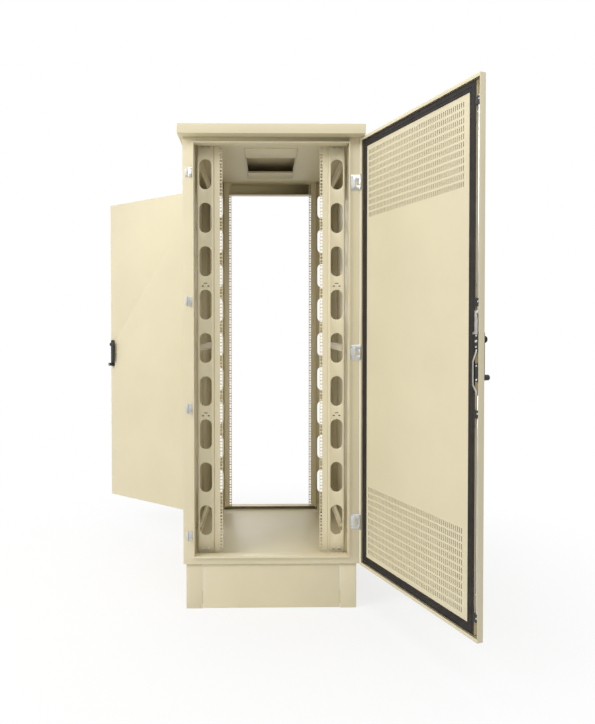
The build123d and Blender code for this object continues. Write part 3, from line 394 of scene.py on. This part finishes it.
class CABINET_OT_door_liners(bpy.types.Operator):
    """Presses the two fields of narrow vent slots into each door's inner liner"""
    bl_idname = "cabinet.door_liners"
    bl_label = "Door liners"

    def slot_field(self, bm, low, high, columns, rows):
        """A plate of slots, inset by one unit before it is stretched to its size."""
        cell_width = (VENT_END - VENT_START) / columns / SLOT_WEB
        cell_height = (high - low) / rows / SLOT_BAR
        before = set(bm.verts)
        bmesh.ops.create_grid(
            bm, x_segments=columns, y_segments=rows, size=0.5,
            matrix=Matrix.Diagonal((cell_width * columns, cell_height * rows, 1.0, 1.0)),
        )
        made = [vert for vert in bm.verts if vert not in before]
        cells = list({face for vert in made for face in vert.link_faces})
        bmesh.ops.inset_individual(bm, faces=cells, thickness=1.0, use_even_offset=True)
        bmesh.ops.delete(bm, geom=cells, context="FACES_ONLY")
        made = [vert for vert in bm.verts if vert not in before]
        stand_up = Matrix(
            ((SLOT_WEB, 0, 0, 0), (0, 0, 1, 0), (0, SLOT_BAR, 0, 0), (0, 0, 0, 1))
        )
        shift = Matrix.Translation(((VENT_START + VENT_END) / 2, 0.0, (low + high) / 2))
        bmesh.ops.transform(bm, matrix=shift @ stand_up, verts=made)

    def border(self, bm, axis, *places):
        """Outer edges whose two ends lie at one of those places along the axis."""
        return [
            edge for edge in bm.edges
            if edge.is_boundary and all(
                min(abs(vert.co[axis] - value) for value in places) < PLACE_TOLERANCE
                for vert in edge.verts
            )
        ]

    def carry_out(self, bm, edges, axis, value):
        """Extrudes the edges and sets the new ones at that place along the axis."""
        made = bmesh.ops.extrude_edge_only(bm, edges=edges)["geom"]
        for vert in made:
            if isinstance(vert, bmesh.types.BMVert):
                vert.co[axis] = value

    def execute(self, context):
        sizes = context.scene.cabinet_sizes
        for end in ENDS:
            bottom, top = DOOR_BOTTOM[end], DOOR_TOP[end]
            low_end, high_end = bottom + LINER_INSET, top - LINER_INSET
            low_field = [bottom + up for up in VENT_UP_FROM_BOTTOM]
            high_field = [top - down for down in VENT_DOWN_FROM_TOP]
            bm = bmesh.new()
            for low, high in (low_field, high_field):
                self.slot_field(bm, low, high, sizes.slot_columns, sizes.slot_rows)
            between = self.border(bm, 2, low_field[1]) + self.border(bm, 2, high_field[0])
            bmesh.ops.bridge_loops(bm, edges=between)
            self.carry_out(bm, self.border(bm, 2, low_field[0]), 2, low_end)
            self.carry_out(bm, self.border(bm, 2, high_field[1]), 2, high_end)
            self.carry_out(bm, self.border(bm, 0, VENT_START), 0, LINER_START)
            self.carry_out(bm, self.border(bm, 0, VENT_END), 0, LINER_END)
            rim = set(self.border(bm, 0, LINER_START, LINER_END))
            rim |= set(self.border(bm, 2, low_end, high_end))
            self.carry_out(bm, [edge for edge in bm.edges if edge in rim], 1, LINER_RIM)
            bmesh.ops.recalc_face_normals(bm, faces=bm.faces)
            flat = next(face for face in bm.faces if abs(face.normal.y) > 0.9)
            if flat.normal.y > 0:
                bmesh.ops.reverse_faces(bm, faces=bm.faces)
            bmesh.ops.solidify(bm, geom=bm.faces[:], thickness=LINER_THICKNESS)
            seat = Matrix.Translation(door_point(0.0, LINER_OUT, 0.0))
            place(bm, door_matrix(end) @ seat)
            new_piece(end + "_slotted_liner", bm, end + "_door", "body_paint",
                      replaces=(end + "_inner_liner",))
        return {"FINISHED"}


class CABINET_OT_door_seals(bpy.types.Operator):
    """Lays a foamed seal with a rounded bead round each liner"""
    bl_idname = "cabinet.door_seals"
    bl_label = "Door seals"

    # (inset, height off the door's plane) before and after the bead
    outer_edge = [(0.0, 8.0), (0.0, 6.6), (1.2, 6.0)]
    inner_edge = [(26.0, 6.0), (27.0, 5.2), (29.0, 4.8), (31.5, 5.2), (33.0, 6.4), (33.0, 8.0)]
    face = 6.0
    bead_inset, bead_rise, bead_steps = 14.0, 1.9, 6

    def profile(self, width):
        """The seal's section with a half-round bead of that width."""
        half = width / 2
        bead = []
        for step in range(1, self.bead_steps):
            angle = math.pi * step / self.bead_steps
            inset = self.bead_inset - math.cos(angle) * half
            bead.append((inset, self.face - math.sin(angle) * self.bead_rise))
        start, end = (self.bead_inset - half, self.face), (self.bead_inset + half, self.face)
        return [*self.outer_edge, start, *bead, end, *self.inner_edge]

    def ring(self, bm, rectangle, profile):
        """Carries a profile of (inset, height) once round a rectangle and closes it."""
        left, right, bottom, top = rectangle
        verts = [bm.verts.new((0.0, 0.0, 0.0)) for _ in range(4)]
        edges = [bm.edges.new((verts[i], verts[(i + 1) % 4])) for i in range(4)]
        first = edges
        loops = []
        for number, (inset, height) in enumerate(profile):
            if number:
                made = bmesh.ops.extrude_edge_only(bm, edges=edges)["geom"]
                edges = [item for item in made if isinstance(item, bmesh.types.BMEdge)]
                verts = [item for item in made if isinstance(item, bmesh.types.BMVert)]
            loops.append((verts, inset, height))
        corners = ((left, bottom), (right, bottom), (right, top), (left, top))
        for verts, inset, height in loops:
            for vert, (x, z) in zip(verts, corners):
                across = inset if x == left else -inset
                up = inset if z == bottom else -inset
                vert.co = (x + across, height, z + up)
        bmesh.ops.bridge_loops(bm, edges=first + edges)

    def execute(self, context):
        profile = self.profile(context.scene.cabinet_sizes.seal_bead / MM)
        for end in ENDS:
            low_end, high_end = DOOR_BOTTOM[end] + LINER_INSET, DOOR_TOP[end] - LINER_INSET
            bm = bmesh.new()
            self.ring(bm, (LINER_START, LINER_END, low_end, high_end), profile)
            place(bm, door_matrix(end) @ Matrix.Translation(door_point(0.0, 0.0, 0.0)))
            new_piece(end + "_beaded_seal", bm, end + "_door", "seal_foam",
                      replaces=(end + "_seal",))
        return {"FINISHED"}


def hinge_heights(end):
    """Middles of a door's three hinges, from the lowest up."""
    bottom, top = DOOR_BOTTOM[end], DOOR_TOP[end]
    return (bottom + HINGE_ABOVE_BOTTOM, (bottom + top) / 2, top - HINGE_BELOW_TOP)


def keeper_heights(end):
    """Middles of the four keepers on that end's stile, from the lowest up."""
    lock = LOCK_HEIGHT[end]
    return (
        DOOR_BOTTOM[end] + KEEPER_ABOVE_BOTTOM, lock - KEEPER_BELOW_LOCK,
        lock + KEEPER_ABOVE_LOCK, DOOR_TOP[end] - KEEPER_BELOW_TOP,
    )


class CABINET_OT_hinge_details(bpy.types.Operator):
    """Adds screws and pin heads to the hinges and softens their plates"""
    bl_idname = "cabinet.hinge_details"
    bl_label = "Hinge details"

    # Millimetres from the hinge's axis and from the hinge's middle
    screw_across, screw_up, screw_height = 33.0, 24.0, 2.6
    pin_start, pin_end = 33.5, 36.5
    pin_radius, pin_tip_radius = 4.1, 2.6

    def execute(self, context):
        radius = context.scene.cabinet_sizes.screw_radius / MM
        softened_copy("hinge_frame_plates", "hinge_frame_leaves", 0.0005, "plated_steel")
        for end in ENDS:
            softened_copy(
                end + "_hinge_door_plates", end + "_hinge_leaves", 0.0004, "plated_steel",
            )
            bm = bmesh.new()
            for height in hinge_heights(end):
                for side in (-1, 1):
                    spot = (HINGE_X + self.screw_across, STILE_FACE, height + side * self.screw_up)
                    add_pan_screw(bm, spot, (0, 1, 0), radius, self.screw_height)
                    low = (HINGE_X, HINGE_Y, height + side * self.pin_start)
                    high = (HINGE_X, HINGE_Y, height + side * self.pin_end)
                    add_round(bm, low, high, self.pin_radius, self.pin_tip_radius, segments=20)
            place(bm, frame_matrix(end))
            new_piece(end + "_hinge_screws", bm, "cabinet", "plated_steel")
        return {"FINISHED"}


class CABINET_OT_keeper_details(bpy.types.Operator):
    """Softens the keepers on the lock stiles and fixes each with two screws"""
    bl_idname = "cabinet.keeper_details"
    bl_label = "Keeper details"

    screw_x, screw_up, screw_height = 364.5, 13.0, 2.4

    def execute(self, context):
        radius = context.scene.cabinet_sizes.screw_radius / MM
        for end in ENDS:
            softened_copy(end + "_bright_keepers", end + "_keepers", 0.0005, "plated_steel")
            bm = bmesh.new()
            for height in keeper_heights(end):
                for up in (self.screw_up, -self.screw_up):
                    spot = (self.screw_x, STILE_FACE, height + up)
                    add_pan_screw(bm, spot, (0, 1, 0), radius, self.screw_height)
            place(bm, frame_matrix(end))
            new_piece(end + "_keeper_screws", bm, "cabinet", "plated_steel")
        return {"FINISHED"}


class CABINET_OT_lock_details(bpy.types.Operator):
    """Softens the lock gear along the free edge and adds its screws"""
    bl_idname = "cabinet.lock_details"
    bl_label = "Lock gear details"

    finished = (
        ("_drive_slide", "black_plastic", 0.0005), ("_gear_case", "black_plastic", 0.0008),
        ("_lower_lock_case", "black_plastic", 0.0006), ("_rod_guides", "black_plastic", 0.0012),
        ("_drive_strips", "plated_steel", 0.0004), ("_rod_rollers", "plated_steel", 0.0006),
        ("_lower_rod", "plated_steel", 0.001), ("_upper_rod", "plated_steel", 0.001),
    )
    # How far each guide's screw lies above its keeper, and its (across, out, radius)
    guide_screws_up = (-51.0, 70.0, -35.0, 67.0)
    guide_screw = (789.5, 4.6, 3.6)
    # (across, out, up from the lock, radius)
    case_screws = ((784.0, 3.6, -31.0, 3.4), (784.0, 3.6, -79.0, 3.8))
    slide_studs = ((785.5, 1.1, 71.0, 3.2), (783.5, 1.1, 52.0, 5.2), (784.5, 1.1, 33.0, 3.8))
    screw_height, stud_height = 1.8, 2.0

    def door_screws(self, end):
        """Places and radii of the screws that hold the guides and the lower case."""
        across, out, radius = self.guide_screw
        spots = [(across, out, height + up, radius)
                 for height, up in zip(keeper_heights(end), self.guide_screws_up)]
        return spots + self.lifted(end, self.case_screws)

    def lifted(self, end, spots):
        """Those places with their heights taken from the lock instead of the ground."""
        return [(across, out, LOCK_HEIGHT[end] + up, radius) for across, out, up, radius in spots]

    def add_screws(self, name, end, body, spots, height):
        bm = bmesh.new()
        for across, out, up, radius in spots:
            add_pan_screw(bm, door_point(across, out, up), (0, -1, 0), radius, height)
        place(bm, door_matrix(end))
        new_piece(name, bm, body, "plated_steel")

    def execute(self, context):
        for end in ENDS:
            for node, slot, width in self.finished:
                softened_copy(end + node + "_finished", end + node, width, slot)
            self.add_screws(end + "_case_screws", end, end + "_door", self.door_screws(end),
                            self.screw_height)
            self.add_screws(end + "_slide_studs", end, end + "_rods",
                            self.lifted(end, self.slide_studs), self.stud_height)
        return {"FINISHED"}


class CABINET_OT_handle_details(bpy.types.Operator):
    """Softens the handle, joins its lever to the hub and adds the key plug"""
    bl_idname = "cabinet.handle_details"
    bl_label = "Handle details"

    finished = (("_handle_base", 0.0006), ("_handle_hub", 0.0008), ("_lock_barrel", 0.0006))
    # Millimetres up from the lock
    hub_up, barrel_up = 58.0, -73.0
    # Millimetres off the door's plane, unless it's a radius, a half size or a place across
    hub_top, cap_top, neck_top = 40.5, 45.0, 44.0
    cap_radius, cap_top_radius = 12.6, 11.4
    neck_start, neck_half_height = 762.0, 10.0
    plug_start, plug_end, plug_radius = 55.2, 56.6, 4.6
    key_bit_start, key_bit_end = 56.2, 57.2
    key_bit_half_width, key_bit_half_height = 0.7, 2.9

    def grip(self, end):
        """The lever's own solid with the low cap that carries it on the hub."""
        height = LOCK_HEIGHT[end] + self.hub_up
        bm = bmesh.new()
        cap = add_round(
            bm, door_point(HANDLE_ACROSS, self.hub_top, height),
            door_point(HANDLE_ACROSS, self.cap_top, height),
            self.cap_radius, self.cap_top_radius, segments=40,
        )
        neck = add_block(
            bm, door_point(self.neck_start, self.hub_top, height - self.neck_half_height),
            door_point(HANDLE_ACROSS, self.neck_top, height + self.neck_half_height),
        )
        round_edges(bm, 0.6, angle=50.0, verts=cap + neck)
        place(bm, door_matrix(end))
        merged_copy(bm, end + "_handle_lever")
        new_piece(end + "_handle_grip", bm, end + "_handle", "black_plastic",
                  replaces=(end + "_handle_lever",))

    def key_plug(self, end):
        """A round plug with an upright key bit in the barrel's face."""
        height = LOCK_HEIGHT[end] + self.barrel_up
        bm = bmesh.new()
        add_round(bm, door_point(HANDLE_ACROSS, self.plug_start, height),
                  door_point(HANDLE_ACROSS, self.plug_end, height), self.plug_radius, segments=28)
        add_block(
            bm, door_point(HANDLE_ACROSS - self.key_bit_half_width, self.key_bit_start,
                           height - self.key_bit_half_height),
            door_point(HANDLE_ACROSS + self.key_bit_half_width, self.key_bit_end,
                       height + self.key_bit_half_height),
        )
        place(bm, door_matrix(end))
        new_piece(end + "_key_plug", bm, end + "_door", "plated_steel")

    def execute(self, context):
        for end in ENDS:
            for node, width in self.finished:
                softened_copy(end + node + "_finished", end + node, width, "black_plastic")
            self.grip(end)
            self.key_plug(end)
        return {"FINISHED"}


class CABINET_OT_rack_details(bpy.types.Operator):
    """Rounds the cable panels' folds and adds their screws, and raised black blocks of painted
    shade in place of small slots
    """
    bl_idname = "cabinet.rack_details"
    bl_label = "Rack details"

    nodes = (
        "cable_panel_front_right", "cable_panel_front_left", "cable_panel_rear_right",
        "cable_panel_rear_left", "depth_members_right", "depth_members_left", "rack_brackets",
    )
    # Millimetres at the rear of the body, the same for the front turned half round
    slot_shade_heights = (1481.0, 881.0)
    # (across, up, half width, half height) of the black blocks between two slots, painted shade
    # standing in for small lanced slots
    slot_shade_blocks = ((0.0, 8.0, 8.0, 1.6), (-13.0, -5.0, 4.6, 2.4), (13.0, -5.0, 4.6, 2.4))
    mark_back, mark_front = 385.9, 386.5
    screw_heights = (256.65, 2113.55)
    screw_across = (-13.0, 13.0)
    washer_top, washer_radius, washer_top_radius = 387.2, 6.2, 6.0
    head_base, head_top, head_radius = 387.0, 390.2, 4.9

    def marks(self, bm, side, height):
        """Three small raised black blocks between two slots of a front cable panel, painted shade
        standing in for small lanced slots.
        """
        middle = side * PANEL_MIDDLE
        for across, up, half_width, half_height in self.slot_shade_blocks:
            x, z = middle + across, height + up
            made = add_block(
                bm, (x - half_width, self.mark_back, z - half_height),
                (x + half_width, self.mark_front, z + half_height),
            )
            round_edges(bm, 0.25, angle=40.0, segments=1, verts=made)

    def screw(self, bm, x, height):
        """A hexagon head on a round washer."""
        add_round(bm, (x, PANEL_FACE, height), (x, self.washer_top, height),
                  self.washer_radius, self.washer_top_radius, segments=28)
        made = add_round(bm, (x, self.head_base, height), (x, self.head_top, height),
                         self.head_radius, segments=6)
        round_edges(bm, 0.5, angle=50.0, verts=made)

    def execute(self, context):
        radius = context.scene.cabinet_sizes.fold_radius
        for name in self.nodes:
            softened_copy(name + "_folded", name, radius * 0.7, "body_paint")
        for end in ENDS:
            bm = bmesh.new()
            for side in (-1, 1):
                for across in self.screw_across:
                    for height in self.screw_heights:
                        self.screw(bm, side * PANEL_MIDDLE + across, height)
            place(bm, frame_matrix(end))
            replaced = ("rack_screws",) if end == "front" else ()
            new_piece(end + "_rack_screw_heads", bm, "cabinet", "plated_steel", replaces=replaced)
        # Black blocks of painted shade, put where the front cable panels' small lanced slots look
        # dark
        bm = bmesh.new()
        for side in (-1, 1):
            for height in self.slot_shade_heights:
                self.marks(bm, side, height)
        place(bm, frame_matrix("front"))
        new_piece("cable_panel_painted_slot_shade", bm, "cabinet", "black_plastic")
        return {"FINISHED"}


class CABINET_OT_rounded_folds(bpy.types.Operator):
    """Rounds the folded edges of the sheet panels that catch the light"""
    bl_idname = "cabinet.rounded_folds"
    bl_label = "Rounded folds"

    nodes = (
        "roof_hood", "side_panel_right", "side_panel_left", "plinth_front_panel",
        "plinth_rear_panel", "plinth_side_panels", "plinth_corner_posts", "front_outer_skin",
        "rear_outer_skin", "floor_pan", "front_frame", "rear_frame", "ceiling_plate",
        "ceiling_vent_tray",
    )

    def execute(self, context):
        radius = context.scene.cabinet_sizes.fold_radius
        for name in self.nodes:
            softened_copy(name + "_folded", name, radius, "body_paint")
        return {"FINISHED"}


# Stage

class CABINET_OT_stage(bpy.types.Operator):
    """Sets a pale floor, soft lamps and the camera at the photo's viewing angle"""
    bl_idname = "cabinet.stage"
    bl_label = "Stage"

    floor_half_size = 30.0
    # Metres from the middle where the floor starts and ends turning white to the camera
    fade_start, fade_end = 0.5, 2.2
    near_white = 0.7
    room_light = 0.42
    # (name, place, target, (width, height), watts)
    lamps = (
        ("soft_key", (-4.4, -2.9, 3.6), (0.2, -0.4, 1.1), (3.2, 2.6), 170.0),
        ("soft_fill", (0.5, -3.9, 4.6), (0.2, -0.4, 1.9), (2.4, 1.8), 62.0),
        ("soft_top", (0.0, 0.2, 5.4), (0.0, 0.0, 1.0), (3.4, 3.4), 80.0),
        ("soft_back", (-1.5, 5.0, 3.0), (0.0, 0.0, 1.0), (3.0, 3.0), 60.0),
    )
    # The camera solved from the photo: metres, radians and pixels
    camera_place = (-0.02251, -3.33470, 1.27020)
    camera_yaw, camera_pitch, camera_roll = -0.0132, -0.0177, 0.0004
    photo_width, photo_height = 595.0, 724.0
    focal_pixels = 637.229
    centre_x, centre_y = 274.794, 341.895
    sensor = 36.0

    def floor(self):
        """A pale floor that keeps the shadow and fades to plain white for the camera."""
        bm = bmesh.new()
        bmesh.ops.create_grid(bm, x_segments=2, y_segments=2, size=self.floor_half_size)
        mesh = bpy.data.meshes.new("pale_floor")
        bm.to_mesh(mesh)
        bm.free()
        ground = bpy.data.objects.new("pale_floor", mesh)
        bpy.context.scene.collection.objects.link(ground)
        material, nodes, links, shader = shader_material("pale_floor")
        shader.inputs["Base Color"].default_value = (0.86, 0.86, 0.86, 1.0)
        shader.inputs["Roughness"].default_value = 0.9
        shader.inputs["Specular IOR Level"].default_value = 0.1
        glow = nodes.new("ShaderNodeEmission")
        glow.inputs["Color"].default_value = (1.0, 1.0, 1.0, 1.0)
        glow.inputs["Strength"].default_value = 1.0
        place = nodes.new("ShaderNodeTexCoord")
        reach = nodes.new("ShaderNodeVectorMath")
        reach.operation = "LENGTH"
        links.new(place.outputs["Object"], reach.inputs[0])
        fade = nodes.new("ShaderNodeMapRange")
        fade.interpolation_type = "SMOOTHSTEP"
        fade.inputs["From Min"].default_value = self.fade_start
        fade.inputs["From Max"].default_value = self.fade_end
        fade.inputs["To Min"].default_value = self.near_white
        fade.inputs["To Max"].default_value = 1.0
        links.new(reach.outputs["Value"], fade.inputs["Value"])
        path = nodes.new("ShaderNodeLightPath")
        amount = nodes.new("ShaderNodeMath")
        amount.operation = "MULTIPLY"
        links.new(path.outputs["Is Camera Ray"], amount.inputs[0])
        links.new(fade.outputs["Result"], amount.inputs[1])
        mix = nodes.new("ShaderNodeMixShader")
        links.new(amount.outputs["Value"], mix.inputs["Fac"])
        links.new(shader.outputs["BSDF"], mix.inputs[1])
        links.new(glow.outputs["Emission"], mix.inputs[2])
        links.new(mix.outputs["Shader"], nodes["Material Output"].inputs["Surface"])
        mesh.materials.append(material)

    def sky(self):
        """A soft room light that looks white to the camera and in reflections."""
        world = bpy.data.worlds.new("soft_room")
        bpy.context.scene.world = world
        world.use_nodes = True
        nodes, links = world.node_tree.nodes, world.node_tree.links
        room = nodes["Background"]
        room.inputs["Color"].default_value = (1.0, 1.0, 1.0, 1.0)
        room.inputs["Strength"].default_value = self.room_light
        white = nodes.new("ShaderNodeBackground")
        white.inputs["Color"].default_value = (1.0, 1.0, 1.0, 1.0)
        white.inputs["Strength"].default_value = 1.0
        path = nodes.new("ShaderNodeLightPath")
        seen = nodes.new("ShaderNodeMath")
        seen.operation = "MAXIMUM"
        links.new(path.outputs["Is Camera Ray"], seen.inputs[0])
        links.new(path.outputs["Is Glossy Ray"], seen.inputs[1])
        mix = nodes.new("ShaderNodeMixShader")
        links.new(seen.outputs["Value"], mix.inputs["Fac"])
        links.new(room.outputs["Background"], mix.inputs[1])
        links.new(white.outputs["Background"], mix.inputs[2])
        links.new(mix.outputs["Shader"], nodes["World Output"].inputs["Surface"])

    def lamp(self, name, place, target, size, power):
        data = bpy.data.lights.new(name, "AREA")
        data.shape = "RECTANGLE"
        data.size, data.size_y = size
        data.energy = power
        lamp = bpy.data.objects.new(name, data)
        bpy.context.scene.collection.objects.link(lamp)
        lamp.location = place
        way = Vector(target) - Vector(place)
        lamp.rotation_euler = way.to_track_quat("-Z", "Y").to_euler()

    def camera(self):
        """The photo's own camera, its centre shifted as the photo is cropped."""
        data = bpy.data.cameras.new("street_view")
        camera = bpy.data.objects.new("street_view", data)
        bpy.context.scene.collection.objects.link(camera)
        yaw = Matrix.Rotation(self.camera_yaw, 4, "Z")
        pitch = Matrix.Rotation(self.camera_pitch, 4, "X")
        roll = Matrix.Rotation(self.camera_roll, 4, "Y")
        upright = Matrix.Rotation(math.pi / 2, 4, "X")
        spot = Matrix.Translation(self.camera_place)
        camera.matrix_world = spot @ yaw @ pitch @ roll @ upright
        longer = self.photo_height
        data.sensor_width = self.sensor
        data.lens = self.focal_pixels * self.sensor / longer
        data.shift_x = (self.photo_width / 2 - self.centre_x) / longer
        data.shift_y = (self.centre_y - self.photo_height / 2) / longer
        data.clip_end = 200.0
        bpy.context.scene.camera = camera

    def execute(self, context):
        self.floor()
        self.sky()
        for lamp in self.lamps:
            self.lamp(*lamp)
        self.camera()
        context.scene.view_settings.view_transform = "Standard"
        return {"FINISHED"}


class CABINET_PT_panel(bpy.types.Panel):
    """The cabinet's pieces in the 3D view's sidebar"""
    bl_idname = "CABINET_PT_panel"
    bl_label = "Roadside cabinet"
    bl_space_type = "VIEW_3D"
    bl_region_type = "UI"
    bl_category = "Cabinet"

    def draw(self, context):
        column = self.layout.column()
        for operator in OPERATORS:
            column.operator(operator.bl_idname)
        for group in (context.scene.cabinet_sizes, context.scene.cabinet_colours):
            box = self.layout.box()
            for name in group.bl_rna.properties.keys():
                if name not in {"rna_type", "name"}:
                    box.prop(group, name)


OPERATORS = (
    CABINET_OT_paint_frame,
    CABINET_OT_rounded_folds,
    CABINET_OT_door_liners,
    CABINET_OT_door_seals,
    CABINET_OT_hinge_details,
    CABINET_OT_keeper_details,
    CABINET_OT_lock_details,
    CABINET_OT_handle_details,
    CABINET_OT_rack_details,
    CABINET_OT_stage,
)
GROUPS = (CabinetSizes, CabinetColours)


def register():
    for item in GROUPS + OPERATORS + (CABINET_PT_panel,):
        bpy.utils.register_class(item)
    bpy.types.Scene.cabinet_sizes = bpy.props.PointerProperty(type=CabinetSizes)
    bpy.types.Scene.cabinet_colours = bpy.props.PointerProperty(type=CabinetColours)


def unregister():
    del bpy.types.Scene.cabinet_colours
    del bpy.types.Scene.cabinet_sizes
    for item in reversed(GROUPS + OPERATORS + (CABINET_PT_panel,)):
        bpy.utils.unregister_class(item)


def main():
    register()
    for operator in OPERATORS:
        group, name = operator.bl_idname.split(".")
        getattr(getattr(bpy.ops, group), name)()


if __name__ == "__main__":
    main()
